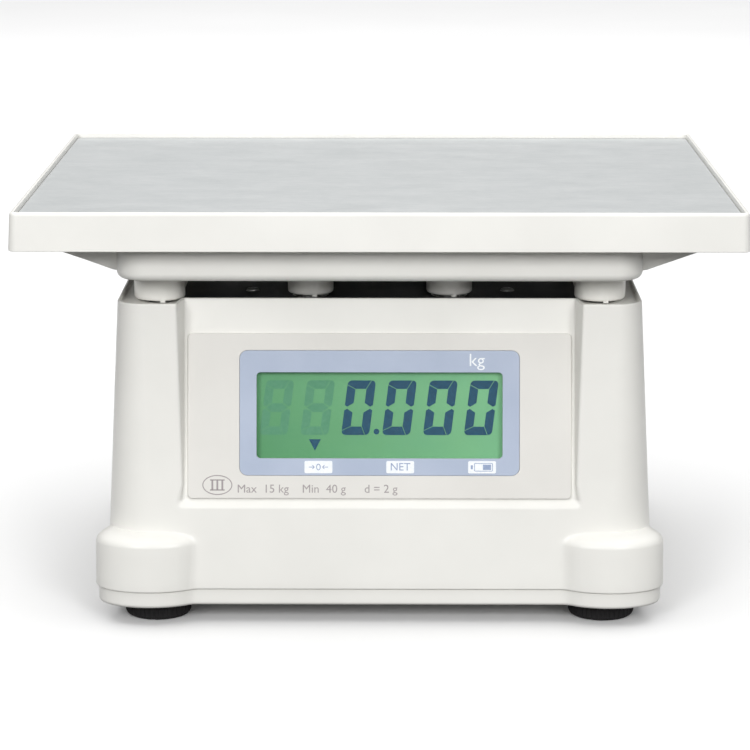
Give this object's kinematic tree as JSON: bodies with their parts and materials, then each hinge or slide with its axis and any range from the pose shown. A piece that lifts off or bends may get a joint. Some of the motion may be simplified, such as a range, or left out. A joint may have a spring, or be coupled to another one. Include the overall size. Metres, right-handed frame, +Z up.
{
  "type": "bench scale",
  "caption": "Ivory counter-top bench scale with a raised platter, a stainless pan and an inset display panel on each side.",
  "frame": {"origin": "middle of the platter's outline, on the surface that the feet stand on", "axes": "+X to the right and -Y towards the customer who reads the front display, +Z up"},
  "size_m": [0.3016, 0.25, 0.178],
  "materials": {
    "ivory_plastic": "satin moulded ABS, warm ivory",
    "panel_plastic": "satin moulded ABS, a shade darker than the case",
    "bezel_print": "printed film, pale blue-grey",
    "clear_cover": "clear polycarbonate",
    "lcd_glass": "liquid crystal display with a green backlight",
    "stainless_sheet": "satin stainless sheet",
    "zinc_steel": "zinc-plated steel",
    "cast_aluminium": "as cast or machined",
    "circuit_board": "green solder mask",
    "rubber": "ribbed black rubber",
    "black_plastic": "black moulded plastic",
    "key_plastic": "blue-grey key caps",
    "cable": "dark cable jacket"
  },
  "bodies": {
    "base": {"lower_case": "ivory_plastic", "upper_case": "ivory_plastic", "battery_hatch": "ivory_plastic", "hatch_screw": "zinc_steel", "case_screw_front_left": "zinc_steel", "case_screw_front_right": "zinc_steel", "case_screw_back_left": "zinc_steel", "case_screw_back_right": "zinc_steel", "deck_screw_front_left": "zinc_steel", "deck_screw_front_right": "zinc_steel", "deck_screw_back_left": "zinc_steel", "deck_screw_back_right": "zinc_steel", "customer_panel": "panel_plastic", "customer_bezel": "bezel_print", "customer_window": "clear_cover", "customer_lcd": "lcd_glass", "customer_board": "circuit_board", "customer_lead": "cable", "operator_panel": "panel_plastic", "operator_bezel": "bezel_print", "operator_window": "clear_cover", "operator_lcd": "lcd_glass", "operator_board": "circuit_board", "operator_lead": "cable", "chassis_plate": "zinc_steel", "cell_foot_block": "cast_aluminium", "load_cell": "cast_aluminium", "cell_foot_bolts": "zinc_steel", "cell_lead": "cable", "main_board": "circuit_board", "battery": "black_plastic", "level_vial": "clear_cover", "switch_body": "black_plastic", "dc_inlet": "black_plastic"},
    "weighing_carrier": {"spider": "cast_aluminium", "cell_head_bolts": "zinc_steel", "post_pin_outer_front_left": "zinc_steel", "post_pin_outer_front_right": "zinc_steel", "post_pin_outer_back_left": "zinc_steel", "post_pin_outer_back_right": "zinc_steel", "post_pin_inner_front_left": "zinc_steel", "post_pin_inner_front_right": "zinc_steel", "post_pin_inner_back_left": "zinc_steel", "post_pin_inner_back_right": "zinc_steel"},
    "support": {"support_tray": "ivory_plastic"},
    "platter": {"platter_tray": "ivory_plastic"},
    "pan": {"steel_pan": "stainless_sheet"},
    "rocker": {"power_rocker": "black_plastic"},
    "key_zero": {"key_zero": "key_plastic"},
    "key_tare": {"key_tare": "key_plastic"},
    "key_net": {"key_net": "key_plastic"},
    "key_print": {"key_print": "key_plastic"},
    "stud_front_left": {"foot_stud_front_left": "zinc_steel"},
    "pad_front_left": {"foot_pad_front_left": "rubber"},
    "stud_front_right": {"foot_stud_front_right": "zinc_steel"},
    "pad_front_right": {"foot_pad_front_right": "rubber"},
    "stud_back_left": {"foot_stud_back_left": "zinc_steel"},
    "pad_back_left": {"foot_pad_back_left": "rubber"},
    "stud_back_right": {"foot_stud_back_right": "zinc_steel"},
    "pad_back_right": {"foot_pad_back_right": "rubber"}
  },
  "joints": [
    {"name": "weighing_travel", "type": "slide", "parent": "base", "child": "weighing_carrier", "axis": [0, 0, 1], "range_m": [-0.0004, 0], "stiffness_N_per_m": 200000, "springref_m": 0.00015, "deforming": ["load_cell"]},
    {"name": "support_lift_off", "type": "slide", "parent": "weighing_carrier", "child": "support", "axis": [0, 0, 1], "range_m": [0, 0.04]},
    {"name": "platter_lift_off", "type": "slide", "parent": "support", "child": "platter", "axis": [0, 0, 1], "range_m": [0, 0.04]},
    {"name": "pan_lift_off", "type": "slide", "parent": "platter", "child": "pan", "axis": [0, 0, 1], "range_m": [0, 0.02]},
    {"name": "power_rocker_tip", "type": "hinge", "parent": "base", "child": "rocker", "pos_m": [0.116, 0.026, 0.028], "axis": [0, 0, 1], "range_deg": [0, 14]},
    {"name": "key_zero_press", "type": "slide", "parent": "base", "child": "key_zero", "axis": [0, -0.9799, -0.1994], "range_m": [0, 0.001], "stiffness_N_per_m": 400, "springref_m": -0.00075},
    {"name": "key_tare_press", "type": "slide", "parent": "base", "child": "key_tare", "axis": [0, -0.9799, -0.1994], "range_m": [0, 0.001], "stiffness_N_per_m": 400, "springref_m": -0.00075},
    {"name": "key_net_press", "type": "slide", "parent": "base", "child": "key_net", "axis": [0, -0.9799, -0.1994], "range_m": [0, 0.001], "stiffness_N_per_m": 400, "springref_m": -0.00075},
    {"name": "key_print_press", "type": "slide", "parent": "base", "child": "key_print", "axis": [0, -0.9799, -0.1994], "range_m": [0, 0.001], "stiffness_N_per_m": 400, "springref_m": -0.00075},
    {"name": "foot_travel_front_left", "type": "slide", "parent": "base", "child": "stud_front_left", "axis": [0, 0, -1], "range_m": [0, 0.005]},
    {"name": "foot_turn_front_left", "type": "hinge", "parent": "stud_front_left", "child": "pad_front_left", "pos_m": [-0.0946, -0.0901, 0.004], "axis": [0, 0, -1], "range_deg": [0, 1440]},
    {"name": "foot_travel_front_right", "type": "slide", "parent": "base", "child": "stud_front_right", "axis": [0, 0, -1], "range_m": [0, 0.005]},
    {"name": "foot_turn_front_right", "type": "hinge", "parent": "stud_front_right", "child": "pad_front_right", "pos_m": [0.0946, -0.0901, 0.004], "axis": [0, 0, -1], "range_deg": [0, 1440]},
    {"name": "foot_travel_back_left", "type": "slide", "parent": "base", "child": "stud_back_left", "axis": [0, 0, -1], "range_m": [0, 0.005]},
    {"name": "foot_turn_back_left", "type": "hinge", "parent": "stud_back_left", "child": "pad_back_left", "pos_m": [-0.0946, 0.0901, 0.004], "axis": [0, 0, -1], "range_deg": [0, 1440]},
    {"name": "foot_travel_back_right", "type": "slide", "parent": "base", "child": "stud_back_right", "axis": [0, 0, -1], "range_m": [0, 0.005]},
    {"name": "foot_turn_back_right", "type": "hinge", "parent": "stud_back_right", "child": "pad_back_right", "pos_m": [0.0946, 0.0901, 0.004], "axis": [0, 0, -1], "range_deg": [0, 1440]}
  ],
  "couplings": [
    {"joint": "foot_turn_front_left", "follows": "foot_travel_front_left", "rad_per_m": 5026.5},
    {"joint": "foot_turn_front_right", "follows": "foot_travel_front_right", "rad_per_m": 5026.5},
    {"joint": "foot_turn_back_left", "follows": "foot_travel_back_left", "rad_per_m": 5026.5},
    {"joint": "foot_turn_back_right", "follows": "foot_travel_back_right", "rad_per_m": 5026.5}
  ]
}
